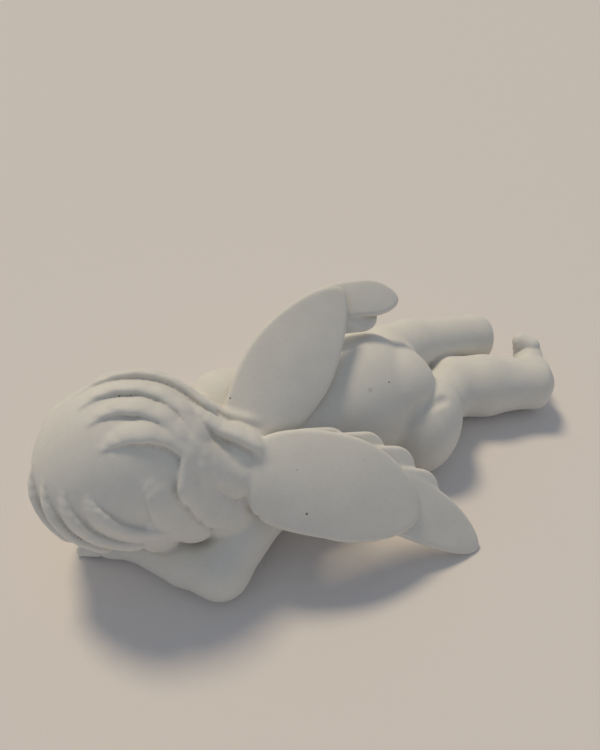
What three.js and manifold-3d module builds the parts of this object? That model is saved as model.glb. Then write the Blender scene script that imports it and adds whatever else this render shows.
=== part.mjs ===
import * as THREE from 'three';
import Module from 'manifold-3d';

// Sizes in millimetres
const figureLength = 145;
const headWidth = 37.5;
const hairDepth = 3.2;
const torsoDepth = 33;
const thighWidth = 21;
const calfWidth = 15.5;
const upperArmWidth = 15;
const wingThickness = 4.4;
const wingChord = 22;
const footLength = 15.5;
const restFlat = 1;

// Sampling of the free form, and the number of facets kept
const unit = figureLength / 100;
const gridShare = 0.83;
const gridStep = unit * gridShare;
const facetCount = 9300;

// Free form is placed in hundredths of the figure's length: x to the feet, y to the front, z up
const at = (x, y, z) => [x * unit, y * unit, z * unit];

// Vector helpers
const add = (a, b) => [a[0] + b[0], a[1] + b[1], a[2] + b[2]];
const sub = (a, b) => [a[0] - b[0], a[1] - b[1], a[2] - b[2]];
const mul = (a, s) => [a[0] * s, a[1] * s, a[2] * s];
const dot = (a, b) => a[0] * b[0] + a[1] * b[1] + a[2] * b[2];
const len = (a) => Math.sqrt(dot(a, a));
const norm = (a) => mul(a, 1 / Math.max(len(a), 1e-9));
const cross = (a, b) => [
  a[1] * b[2] - a[2] * b[1],
  a[2] * b[0] - a[0] * b[2],
  a[0] * b[1] - a[1] * b[0],
];
const mix = (a, b, t) => add(mul(a, 1 - t), mul(b, t));
const clamp = (v, lo, hi) => Math.min(hi, Math.max(lo, v));
const smoothMin = (a, b, k) => {
  const h = Math.max(k - Math.abs(a - b), 0) / k;
  return Math.min(a, b) - (h * h * k) / 4;
};

// A frame has three square axes: the first is kept, the second is turned square to it
const frameOf = (first, second) => {
  const a = norm(first);
  const b = norm(sub(second, mul(a, dot(a, second))));
  return [a, b, cross(a, b)];
};
const straight = [[1, 0, 0], [0, 1, 0], [0, 0, 1]];

// Solid forms, each with a distance function and a sphere that holds it
const ellipsoid = (centre, radii, axes = straight) => ({
  centre,
  reach: Math.max(...radii),
  distance: (p) => {
    const v = sub(p, centre);
    const q = [dot(v, axes[0]), dot(v, axes[1]), dot(v, axes[2])];
    const k0 = Math.hypot(q[0] / radii[0], q[1] / radii[1], q[2] / radii[2]);
    const k1 = Math.hypot(q[0] / radii[0] ** 2, q[1] / radii[1] ** 2, q[2] / radii[2] ** 2);
    return k1 < 1e-9 ? -Math.min(...radii) : (k0 * (k0 - 1)) / k1;
  },
});

const holdingSphere = (points, extra) => {
  const centre = mul(points.reduce(add), 1 / points.length);
  return { centre, reach: Math.max(...points.map((p) => len(sub(p, centre)))) + extra };
};

// A limb is a round rod through its joints, with its own radius at each joint
const limb = (points, radii) => ({
  ...holdingSphere(points, Math.max(...radii)),
  distance: (p) => {
    let best = Infinity;
    for (let i = 0; i + 1 < points.length; i += 1) {
      const along = sub(points[i + 1], points[i]);
      const t = clamp(dot(sub(p, points[i]), along) / dot(along, along), 0, 1);
      const r = radii[i] + (radii[i + 1] - radii[i]) * t;
      best = Math.min(best, len(sub(p, add(points[i], mul(along, t)))) - r);
    }
    return best;
  },
});

// A blade is a plate along a curve, domed over its width, with rounded edges and a rounded tip
const bladeSteps = 10;
const bladePasses = 3;
const pastTip = 1.25;
const blade = (ends, faces, halfWidth, dome, edge, shape) => {
  const { start, rise, fall, bluntness } = shape;
  const bow = add(sub(ends[0], mul(ends[1], 2)), ends[2]);
  const lead = mul(sub(ends[1], ends[0]), 2);
  const place = (t) => add(ends[0], add(mul(lead, t), mul(bow, t * t)));
  const slopeAt = (t) => add(lead, mul(bow, 2 * t));
  const middle = place(0.5);
  const fallLength = (len(sub(middle, ends[0])) + len(sub(ends[2], middle))) * (1 - fall);
  return {
    ...holdingSphere([ends[0], middle, ends[2]], halfWidth + dome),
    distance: (p) => {
      let best = Infinity;
      let share = 0;
      for (let i = 0; i <= bladeSteps; i += 1) {
        const away = len(sub(p, place(i / bladeSteps)));
        if (away < best) {
          best = away;
          share = i / bladeSteps;
        }
      }
      for (let pass = 0; pass < bladePasses; pass += 1) {
        const off = sub(place(share), p);
        const slope = slopeAt(share);
        const turn = dot(slope, slope) + 2 * dot(off, bow);
        share = clamp(share - dot(off, slope) / Math.max(turn, 1), 0, pastTip);
      }
      const v = sub(p, place(share));
      const [ahead, face, side] = frameOf(slopeAt(share), mix(faces[0], faces[1], share));
      const up = Math.sqrt(Math.max(0, 1 - (1 - Math.min(1, share / rise)) ** 2));
      const wide = halfWidth * (start + (1 - start) * up);
      const across = Math.abs(dot(v, side)) / wide;
      const past = Math.max(0, (share - fall) / (1 - fall));
      const out = Math.max(across ** bluntness + past ** bluntness, 1e-9) ** (1 / bluntness);
      const steep = Math.hypot(
        across ** (bluntness - 1) / wide,
        past ** (bluntness - 1) / fallLength,
      );
      const rim = (out - 1) / Math.max(steep * out ** (1 - bluntness), 1 / halfWidth);
      const high = edge + (dome - edge) * (1 - Math.min(share, 1) ** 2);
      const crest = edge + (high - edge) * Math.max(0, 1 - out * out);
      const rootOff = share <= 0 ? dot(v, ahead) : 0;
      return Math.hypot(Math.max(0, rim + edge), dot(v, face), rootOff) - crest;
    },
  };
};

// A strand is a rod along a line of points, flattened to the surface under it and blunt at its end
const strand = (points, outward, wide, high) => ({
  ...holdingSphere(points, wide),
  distance: (p) => {
    let best = Infinity;
    const count = points.length - 1;
    for (let i = 0; i < count; i += 1) {
      const along = sub(points[i + 1], points[i]);
      const t = clamp(dot(sub(p, points[i]), along) / dot(along, along), 0, 1);
      const share = (i + t) / count;
      const v = sub(p, add(points[i], mul(along, t)));
      const riseOff = dot(v, mix(outward[i], outward[i + 1], t));
      const flatOff = Math.sqrt(Math.max(0, dot(v, v) - riseOff * riseOff));
      const w = wide * (0.3 + 0.7 * Math.min(1, share * 2));
      const h = high * (0.1 + 0.9 * Math.min(1, share * 2));
      const k0 = Math.hypot(flatOff / w, riseOff / h);
      const k1 = Math.max(Math.hypot(flatOff / (w * w), riseOff / (h * h)), 1e-6);
      best = Math.min(best, (k0 * (k0 - 1)) / k1);
    }
    return best;
  },
});

// Forms in a group melt into each other over the width given with each
const group = (parts) => {
  const sphere = holdingSphere(
    parts.map((part) => part.form.centre),
    Math.max(...parts.map((part) => part.form.reach)),
  );
  return {
    ...sphere,
    distance: (p) => {
      let d = Infinity;
      for (const { form, melt } of parts) {
        if (len(sub(p, form.centre)) - form.reach > d + melt) {
          continue;
        }
        const next = form.distance(p);
        d = d === Infinity ? next : smoothMin(d, next, melt);
      }
      return d === Infinity ? len(sub(p, sphere.centre)) : d;
    },
  };
};
const hollow = (form, cutter, melt) => ({
  ...form,
  distance: (p) => -smoothMin(-form.distance(p), cutter.distance(p), melt),
});

// Joints of the figure
const headCentre = at(-41.2, 1.9, 17.3);
const neckBase = at(-27.5, 1.5, 15.5);
const nearShoulder = at(-23.5, -7.5, 10);
const nearElbow = at(-33.8, -14.2, 4.9);
const nearWrist = at(-44.4, -2.8, 3.4);
const farShoulder = at(-24.6, 7.2, 19);
const farElbow = at(-17.5, 19.5, 8.5);
const farWrist = at(-28.5, 20.5, 3.6);
const nearHip = at(9, -1.5, 8.2);
const nearKnee = at(23.4, 5.2, 6.6);
const nearAnkle = at(38.2, -0.2, 6.5);
const farHip = at(7, 5, 14);
const farThigh = at(10.5, 12.2, 13.4);
const farKnee = at(18, 14.6, 12);
const farAnkle = at(34.8, 15.8, 8.2);

// Torso: a chest turned on its side and forward, a soft belly and the two hips
const torsoAxes = frameOf([1, 0, 0], [0, -0.65, 0.76]);
const half = torsoDepth / 2;
const trunk = group([
  { form: ellipsoid(at(-19, 2, 13.2), [half * 1.15, half * 0.8, half * 1.02], torsoAxes), melt: 4 },
  { form: ellipsoid(at(-3.5, 5, 12), [half * 1.05, half * 0.92, half * 1.02], torsoAxes), melt: 6 },
  { form: ellipsoid(at(3.6, 6.2, 12.2), [half * 0.8, half * 0.9, half * 1], torsoAxes), melt: 6 },
  { form: limb([neckBase, headCentre], [half * 0.56, half * 0.52]), melt: 4 },
  { form: ellipsoid(farShoulder, [half * 0.54, half * 0.5, half * 0.48]), melt: 5 },
  { form: ellipsoid(nearShoulder, [half * 0.5, half * 0.48, half * 0.5]), melt: 5 },
]);

// Legs: seat, thigh and calf
const seat = thighWidth / 2;
const calf = calfWidth / 2;
const nearCalf = mix(nearKnee, nearAnkle, 0.4);
const nearSeatAxes = frameOf([0.52, 0.42, 0.74], [0.85, -0.42, -0.2]);
const nearLeg = group([
  { form: ellipsoid(at(11.4, -3.2, 8), [seat * 1.26, seat * 0.84, seat * 0.92], nearSeatAxes), melt: 2 },
  { form: limb([nearHip, nearKnee], [seat * 0.8, calf * 1.04]), melt: 3 },
]);
const nearShin = group([
  { form: limb([nearKnee, nearCalf], [calf * 1.18, calf * 1.14]), melt: 2 },
  { form: limb([nearCalf, nearAnkle], [calf * 1.14, calf * 0.95]), melt: 2 },
]);
const farLeg = group([
  { form: ellipsoid(at(7.4, 2.6, 13.9), [seat * 1.02, seat * 0.98, seat]), melt: 2 },
  { form: ellipsoid(at(12.6, 1.6, 12.2), [seat * 0.5, seat * 0.46, seat * 0.4]), melt: 2.5 },
  { form: limb([farHip, farThigh, farKnee], [seat * 0.9, seat * 0.9, calf * 1.06]), melt: 4 },
  { form: limb([farKnee, farAnkle], [calf * 1.06, calf * 0.94]), melt: 2 },
]);
const seatFold = limb(
  [at(5.6, -5.3, 12.4), at(7.2, -4.9, 15.4), at(12.6, -5, 15.6)],
  [calf * 0.04, calf * 0.15, calf * 0.13],
);
const seatParts = [
  { form: trunk, melt: 3 },
  { form: nearLeg, melt: 1.8 },
  { form: farLeg, melt: 0.9 },
];
const hips = hollow(group(seatParts), seatFold, 1.6);

// Feet: heel, flat sole and five toes that get smaller to the outside
const toeCount = 5;
const soleMelt = 1.2;
const foot = (ankle, toward, sole, inner, curl) => {
  const [ahead, down] = frameOf(toward, sole);
  const across = norm(sub(inner, add(mul(ahead, dot(inner, ahead)), mul(down, dot(inner, down)))));
  const heel = add(ankle, mul(down, calf * 0.2));
  const ball = add(heel, mul(ahead, footLength * 0.56));
  const parts = [
    { form: ellipsoid(heel, [calf * 0.92, calf * 0.88, calf * 0.84]), melt: 2 },
    { form: limb([heel, ball], [calf * 0.82, calf * 0.6]), melt: 3 },
    { form: ellipsoid(ball, [calf * 0.6, calf * 0.56, calf * 0.78], [ahead, down, across]), melt: 2 },
  ];
  const toeWay = norm(sub(mul(ahead, 1 - curl), mul(down, curl)));
  for (let i = 0; i < toeCount; i += 1) {
    const side = (toeCount - 1) / 2 - i;
    const size = calf * (0.32 - 0.035 * i);
    const root = add(ball, add(mul(across, side * calf * 0.33), mul(ahead, calf * 0.28)));
    const tip = add(root, mul(toeWay, footLength * (0.24 - 0.024 * i)));
    parts.push({ form: limb([root, tip], [size * 0.92, size]), melt: 0.5 });
  }
  const whole = group(parts);
  const ground = add(heel, mul(down, calf * 0.4));
  return {
    ...whole,
    distance: (p) => -smoothMin(-whole.distance(p), dot(sub(ground, p), down), soleMelt),
  };
};
const nearFoot = foot(nearAnkle, [0.5, 0.83, 0.1], [0.86, -0.5, 0.02], [0, -0.3, 0.85], 0.62);
const farFoot = foot(farAnkle, [0.05, 0.76, -0.5], [0.93, -0.3, -0.1], [0, -0.3, -0.9], 0.2);

// Arms and hands
const armHalf = upperArmWidth / 2;
const nearForearm = mix(nearElbow, nearWrist, 0.4);
const farForearm = mix(farElbow, farWrist, 0.4);
const nearArm = group([
  { form: limb([nearShoulder, nearElbow], [armHalf * 1.02, armHalf * 0.84]), melt: 3 },
  {
    form: limb([nearElbow, nearForearm, nearWrist], [armHalf * 0.82, armHalf * 0.84, armHalf * 0.52]),
    melt: 2.5,
  },
]);
const farArm = group([
  { form: limb([farShoulder, farElbow], [armHalf * 1.04, armHalf * 0.84]), melt: 3 },
  {
    form: limb([farElbow, farForearm, farWrist], [armHalf * 0.82, armHalf * 0.82, armHalf * 0.54]),
    melt: 2.5,
  },
]);
const fingerCount = 4;
const hand = (wrist, toward, palm, thumbSide) => {
  const [ahead, down, across] = frameOf(toward, palm);
  const side = dot(across, thumbSide) > 0 ? 1 : -1;
  const middle = add(wrist, mul(ahead, armHalf * 0.75));
  const flat = [armHalf * 0.72, armHalf * 0.34, armHalf * 0.62];
  const parts = [
    { form: limb([wrist, middle], [armHalf * 0.5, armHalf * 0.42]), melt: 2 },
    { form: ellipsoid(middle, flat, [ahead, down, across]), melt: 2 },
  ];
  for (let i = 0; i < fingerCount; i += 1) {
    const offset = ((fingerCount - 1) / 2 - i) * armHalf * 0.3 * side;
    const root = add(middle, add(mul(ahead, armHalf * 0.45), mul(across, offset)));
    const reach = armHalf * (0.78 - 0.07 * Math.abs(i - 1));
    const tip = add(root, add(mul(ahead, reach), mul(down, armHalf * 0.14)));
    parts.push({ form: limb([root, tip], [armHalf * 0.19, armHalf * 0.17]), melt: 0.5 });
  }
  const thumbRoot = add(middle, add(mul(across, armHalf * 0.46 * side), mul(ahead, -armHalf * 0.1)));
  const thumbTip = add(thumbRoot, add(mul(ahead, armHalf * 0.6), mul(across, armHalf * 0.24 * side)));
  parts.push({ form: limb([thumbRoot, thumbTip], [armHalf * 0.22, armHalf * 0.18]), melt: 1 });
  return group(parts);
};
const nearHand = hand(nearWrist, [-0.72, 0.6, -0.12], [0, 0, -1], [0.6, 0.7, 0]);
const farHand = hand(farWrist, [-0.98, -0.12, -0.1], [0, 0, -1], [0, -1, 0]);

// Head: a round child's skull that rests on its left side, with the face turned to the front
const skull = headWidth / 2;
const faceOut = norm([0.1, 0.88, -0.42]);
const headAxes = frameOf(faceOut, [-1, 0.1, 0]);
const [faceDir, crownDir, sideDir] = headAxes;
const onHead = (out, up, side) => {
  const way = add(mul(faceDir, out), add(mul(crownDir, up), mul(sideDir, side)));
  return add(headCentre, mul(way, skull));
};
const bump = (out, up, side, a, b, c) =>
  ellipsoid(onHead(out, up, side), [a * skull, b * skull, c * skull], headAxes);
const bothSides = (make, melt) => [
  { form: make(1), melt },
  { form: make(-1), melt },
];
const sockets = group(bothSides((s) => bump(1.08, -0.08, 0.35 * s, 0.2, 0.16, 0.24), 0.5));
const face = group([
  {
    form: hollow(
      group([
        { form: ellipsoid(headCentre, [skull * 1.04, skull * 1.06, skull * 0.98], headAxes), melt: 2 },
        ...bothSides((s) => bump(0.66, -0.4, 0.4 * s, 0.36, 0.34, 0.34), 4),
        { form: bump(0.78, -0.74, 0, 0.22, 0.2, 0.26), melt: 4 },
      ]),
      sockets,
      1.6,
    ),
    melt: 1,
  },
  ...bothSides((s) => bump(0.84, -0.1, 0.35 * s, 0.165, 0.115, 0.17), 0.8),
  { form: limb([onHead(0.98, 0.02, 0), onHead(1.08, -0.26, 0)], [skull * 0.06, skull * 0.085]), melt: 1.6 },
  ...bothSides((s) => bump(1.0, -0.28, 0.085 * s, 0.06, 0.05, 0.06), 0.8),
  { form: bump(1.0, -0.47, 0, 0.06, 0.045, 0.17), melt: 0.5 },
  { form: bump(0.98, -0.56, 0, 0.065, 0.05, 0.13), melt: 0.5 },
]);

// Hair: a smooth cap over the skull and the nape
const hairShell = [skull * 1.06, skull * 1.13, skull * 1.03];
const faceEdge = 0.5;
const chinDir = norm(add(mul(faceDir, 0.9), mul(crownDir, -0.42)));
const hairBase = group([
  { form: ellipsoid(add(headCentre, at(-0.6, 0.3, 0.6)), hairShell, headAxes), melt: 2 },
  { form: limb([at(-37, 0, 17.6), at(-27.2, -4.4, 17.8)], [skull * 0.82, skull * 0.47]), melt: 4 },
  { form: limb([at(-37, -2, 15), at(-30, -7.6, 11.8)], [skull * 0.8, skull * 0.44]), melt: 4 },
]);
const hairCap = {
  ...hairBase,
  distance: (p) => {
    const v = sub(p, headCentre);
    return -smoothMin(-hairBase.distance(p), faceEdge * len(v) - dot(v, chinDir), 1.5);
  },
};

// Locks lie on the cap and sweep round the middle of a curl, from its left to the nape
const curlCentre = norm([-0.186, -0.763, 0.619]);
const curlTop = frameOf(curlCentre, [0.251, 0.572, 0.781])[1];
const curlRight = cross(curlTop, curlCentre);
const lockSteps = 9;
const lockSink = 0.2;
const lockStart = 1.2;
const lockTilt = 0.5;
const lockMelt = 0.35;
const toRadians = Math.PI / 180;
const shellPlace = (way, sink) => {
  let [inner, outer] = [skull * 0.5, skull * 2];
  for (let pass = 0; pass < 14; pass += 1) {
    const r = (inner + outer) / 2;
    [inner, outer] = hairBase.distance(add(headCentre, mul(way, r))) < 0 ? [r, outer] : [inner, r];
  }
  return add(headCentre, mul(way, inner - sink));
};
const slopeStep = 0.4;
const shellNormal = (point) => {
  const value = hairBase.distance(point);
  return norm(straight.map((axis) => hairBase.distance(add(point, mul(axis, slopeStep))) - value));
};
const through = (values, t) =>
  values[0] * (1 - t) * (1 - 2 * t) + values[1] * 4 * t * (1 - t) + values[2] * t * (2 * t - 1);

// A lock is given by its clock angles and its angles out from the middle of the curl, in degrees
const lock = (clocks, outs, wide, high) => {
  const points = [];
  const inwards = [];
  for (let i = 0; i <= lockSteps; i += 1) {
    const t = i / lockSteps;
    const clock = through(clocks, t) * toRadians;
    const out = through(outs, t) * toRadians;
    const ring = add(mul(curlTop, Math.cos(clock)), mul(curlRight, Math.sin(clock)));
    const way = norm(add(mul(curlCentre, Math.cos(out)), mul(ring, Math.sin(out))));
    inwards.push(sub(mul(curlCentre, Math.sin(out)), mul(ring, Math.cos(out))));
    points.push(shellPlace(way, lockSink * hairDepth * (1 + lockStart * (1 - t) ** 2)));
  }
  const outward = points.map((point, i) => {
    const along = norm(sub(points[Math.min(i + 1, lockSteps)], points[Math.max(i - 1, 0)]));
    const edgeWay = sub(inwards[i], mul(along, dot(along, inwards[i])));
    return frameOf(along, sub(shellNormal(point), mul(edgeWay, lockTilt)))[1];
  });
  return { form: strand(points, outward, wide, hairDepth * (high + lockSink)), melt: lockMelt };
};
const overCrown = [
  [[-62, -4, 50], [66, 82, 78], 4.2, 0.3],
  [[-54, -1, 84], [51, 62, 50], 4.3, 0.34],
  [[-54, 4, 103], [38, 46, 40], 4.3, 0.36],
  [[-64, 14, 117], [27, 30, 60], 4.2, 0.36],
];
const underCrown = [
  [[-100, -146, -196], [27, 34, 48], 4, 0.32],
  [[-88, -130, -176], [39, 48, 56], 3.9, 0.34],
  [[-82, -116, -154], [53, 61, 66], 3.8, 0.34],
  [[-74, -102, -132], [69, 74, 76], 3.8, 0.34],
];
const atNape = [
  [[36, 55, 72], [88, 87, 84], 3.6, 0.3],
  [[30, 58, 85], [68, 66, 74], 4.4, 0.4],
  [[28, 62, 98], [54, 48, 63], 4.2, 0.42],
  [[60, 100, 117], [30, 42, 63], 4.3, 0.42],
  [[60, 126, 139], [6, 28, 65], 4.3, 0.42],
  [[140, 156, 161], [22, 46, 77], 3.9, 0.42],
];
const fringeCount = 11;
const fringe = [];
for (let i = 0; i < fringeCount; i += 1) {
  const clock = -160 + 22 * i;
  const sway = 12 * Math.sin(2.2 * i);
  fringe.push([[clock, clock + sway, clock + 14], [84, 101, 120], 4, 0.5]);
}
const locks = [...overCrown, ...underCrown, ...atNape, ...fringe].map((row) => lock(...row));
const hair = group([{ form: hairCap, melt: 1.2 }, ...locks]);

// Wings: a smooth rounded covert, a row of short feathers and the long feathers at the tip
const wingHalf = wingThickness / 2;
const chordHalf = wingChord / 2;
const featherEdge = wingHalf * 0.42;
const featherDome = wingHalf * 0.62;
const feather = (ends, faces, halfWidth, fall, bluntness = 2) => {
  const shape = { start: 0.7, rise: 0.5, fall, bluntness };
  return { form: blade(ends, faces, halfWidth, featherDome, featherEdge, shape), melt: 0.4 };
};

// The near wing is placed by its own plane: along it, back from its leading edge, and lift off it
const nearRoot = at(-24.8, -9, 19.3);
const nearPlane = frameOf([0.788, -0.412, -0.458], [0.6155, 0.545, 0.569]);
const onWing = (along, back, lift) => {
  const across = add(mul(nearPlane[1], back), mul(nearPlane[2], lift));
  return add(nearRoot, at(...add(mul(nearPlane[0], along), across)));
};
const nearFaces = [norm([0, -0.74, 0.67]), norm([0.08, -0.7, 0.7])];
const layerStep = 0.34;
const shortFeathers = [
  [[1, 2.6], [7.4, 5.8], [13, 7.9], 3.4],
  [[6, 3], [13.4, 6.6], [19.6, 9.1], 4],
  [[11, 2.8], [18.8, 6.2], [25.4, 8.3], 4.2],
  [[16, 2.2], [24, 4.6], [30.6, 5.7], 4.2],
].map(([root, middle, tip, wide], i, all) => {
  const drop = layerStep * (all.length - i);
  const ends = [onWing(...root, 0.5 - drop), onWing(...middle, 2.1 - drop), onWing(...tip, 0.9 - drop)];
  return feather(ends, nearFaces, wide * unit, 0.72, 2.3);
});
const nearCovert = blade(
  [onWing(0.6, -1.7, 0.2), onWing(13, 3.4, 3.5), onWing(27.3, 1.2, 2)],
  nearFaces,
  chordHalf * 1.07,
  wingHalf * 1.45,
  featherEdge,
  { start: 0.66, rise: 0.4, fall: 0.5, bluntness: 1.8 },
);
const nearPrimary = [onWing(12, 2, 0.8), onWing(27, 4, 1.8), onWing(41, 0.1, 0)];
const nearWing = group([
  ...shortFeathers,
  feather(nearPrimary, nearFaces, chordHalf * 0.66, 0.46, 1.8),
  { form: nearCovert, melt: 0.4 },
]);
const farFaces = [norm([-0.05, -0.6, 0.8]), norm([0.3, -0.62, 0.72])];
const farLower = [at(-4.9, 12.3, 27), at(0.1, 9.9, 28), at(7.2, 11.4, 25.4)];
const farUpper = [at(-3.8, 14.4, 28.6), at(3.4, 11.6, 30.6), at(12.2, 12.1, 27)];
const farCovert = blade(
  [at(-24, -2.9, 20), at(-13.4, 3, 28.4), at(0.7, 12.6, 32)],
  farFaces,
  chordHalf,
  wingHalf * 1.2,
  featherEdge,
  { start: 0.44, rise: 0.56, fall: 0.42, bluntness: 1.6 },
);
const farWing = group([
  feather(farLower, farFaces, chordHalf * 0.4, 0.7),
  feather(farUpper, farFaces, chordHalf * 0.46, 0.62, 1.8),
  { form: farCovert, melt: 0.5 },
]);

const figure = group([
  { form: hips, melt: 3 },
  { form: nearShin, melt: 1 },
  { form: nearArm, melt: 2.4 },
  { form: farArm, melt: 2.4 },
  { form: nearFoot, melt: 2 },
  { form: farFoot, melt: 2 },
  { form: nearHand, melt: 1.2 },
  { form: farHand, melt: 1.2 },
  { form: face, melt: 1.2 },
  { form: hair, melt: 0.8 },
  { form: farWing, melt: 1.4 },
  { form: nearWing, melt: 0.9 },
]);

// Where two walls would share one edge or one point of the grid, the pinch between them is filled
const cubeCorners = [0, 1, 2, 3, 4, 5, 6, 7];
const joinedCorners = (mask) => {
  const first = cubeCorners.find((c) => mask & (1 << c));
  let seen = 1 << first;
  for (let pass = 0; pass < 4; pass += 1) {
    for (const c of cubeCorners) {
      const touches = [c ^ 1, c ^ 2, c ^ 4].some((n) => seen & (1 << n));
      if (mask & (1 << c) && touches) {
        seen |= 1 << c;
      }
    }
  }
  return seen === mask;
};
const wholeCube = cubeCorners.map((c) => 1 << c).reduce((a, b) => a + b);
const plainMask = [];
for (let mask = 0; mask <= wholeCube; mask += 1) {
  const uncut = mask === 0 || mask === wholeCube;
  plainMask.push(uncut || (joinedCorners(mask) && joinedCorners(wholeCube ^ mask)));
}
const fillPinches = (values, stride, offset, step) => {
  const filled = -0.02 * step;
  const last = values.length - offset[7];
  const fillNearest = (places) => {
    const outside = places.filter((n) => values[n] >= 0).sort((m, n) => values[m] - values[n]);
    values[outside[0]] = filled;
  };
  let changed = true;
  while (changed) {
    changed = false;
    for (let base = 0; base < last; base += 1) {
      let mask = 0;
      for (const c of cubeCorners) {
        mask |= values[base + offset[c]] < 0 ? 1 << c : 0;
      }
      if (!plainMask[mask]) {
        fillNearest(offset.map((n) => base + n));
        changed = true;
        continue;
      }
      for (const [u, v] of [[1, 2], [1, 4], [2, 4]]) {
        const square = [0, u, u | v, v].map((c) => base + offset[c]);
        const inside = square.map((n) => values[n] < 0);
        if (inside[0] === inside[2] && inside[1] === inside[3] && inside[0] !== inside[1]) {
          fillNearest(square);
          changed = true;
          break;
        }
      }
    }
  }
};

// Skin of the form: one point in every grid cell that the surface crosses
const skinOf = (form, low, high, step) => {
  const size = [0, 1, 2].map((k) => Math.ceil((high[k] - low[k]) / step) + 1);
  const stride = [1, size[0], size[0] * size[1]];
  const values = new Float32Array(size[0] * size[1] * size[2]);
  const place = (i, j, k) => [low[0] + i * step, low[1] + j * step, low[2] + k * step];
  for (let k = 0; k < size[2]; k += 1) {
    for (let j = 0; j < size[1]; j += 1) {
      for (let i = 0; i < size[0]; ) {
        const d = form.distance(place(i, j, k));
        const index = i + j * stride[1] + k * stride[2];
        values[index] = d;
        const skip = d > 3 * step ? Math.floor((d * 0.5) / step) : 1;
        for (let n = 1; n < skip && i + n < size[0]; n += 1) {
          values[index + n] = d;
        }
        i += skip;
      }
    }
  }
  const corners = [0, 1, 2, 3, 4, 5, 6, 7].map((c) => [c & 1, (c >> 1) & 1, (c >> 2) & 1]);
  const offset = corners.map((c) => dot(c, stride));
  fillPinches(values, stride, offset, step);
  const points = [];
  const faces = [];
  const pointOf = new Int32Array(values.length).fill(-1);
  const edges = [];
  for (let a = 0; a < 8; a += 1) {
    for (const bit of [1, 2, 4]) {
      if (!(a & bit)) {
        edges.push([a, a | bit]);
      }
    }
  }
  for (let k = 0; k + 1 < size[2]; k += 1) {
    for (let j = 0; j + 1 < size[1]; j += 1) {
      for (let i = 0; i + 1 < size[0]; i += 1) {
        const base = i + j * stride[1] + k * stride[2];
        let sum = [0, 0, 0];
        let count = 0;
        for (const [a, b] of edges) {
          const va = values[base + offset[a]];
          const vb = values[base + offset[b]];
          if (va < 0 !== vb < 0) {
            sum = add(sum, mix(corners[a], corners[b], va / (va - vb)));
            count += 1;
          }
        }
        if (count) {
          const middle = mul(sum, 1 / count);
          pointOf[base] = points.length;
          points.push(place(i + middle[0], j + middle[1], k + middle[2]));
        }
      }
    }
  }
  for (let axis = 0; axis < 3; axis += 1) {
    const u = stride[(axis + 1) % 3];
    const v = stride[(axis + 2) % 3];
    for (let base = u + v; base + stride[axis] < values.length; base += 1) {
      const inside = values[base] < 0;
      if (inside === values[base + stride[axis]] < 0) {
        continue;
      }
      const quad = [base, base - u, base - u - v, base - v].map((n) => pointOf[n]);
      if (quad.includes(-1)) {
        continue;
      }
      const [a, b, c, d] = inside ? quad : [quad[3], quad[2], quad[1], quad[0]];
      const acrossFirst = len(sub(points[a], points[c])) < len(sub(points[b], points[d]));
      if (acrossFirst) {
        faces.push([a, b, c], [a, c, d]);
      } else {
        faces.push([a, b, d], [b, c, d]);
      }
    }
  }
  return { points, faces };
};

// Points are drawn on to the true surface along its slope
const settle = (form, points, limit) => {
  const e = 0.05;
  return points.map((start) => {
    let p = start;
    for (let pass = 0; pass < 2; pass += 1) {
      const d = form.distance(p);
      const slope = [
        form.distance([p[0] + e, p[1], p[2]]) - d,
        form.distance([p[0], p[1] + e, p[2]]) - d,
        form.distance([p[0], p[1], p[2] + e]) - d,
      ];
      const steep = len(slope) / e;
      const move = clamp(d / Math.max(steep, 0.3), -limit, limit);
      p = sub(p, mul(norm(slope), move * 0.8));
    }
    return p;
  });
};

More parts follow.
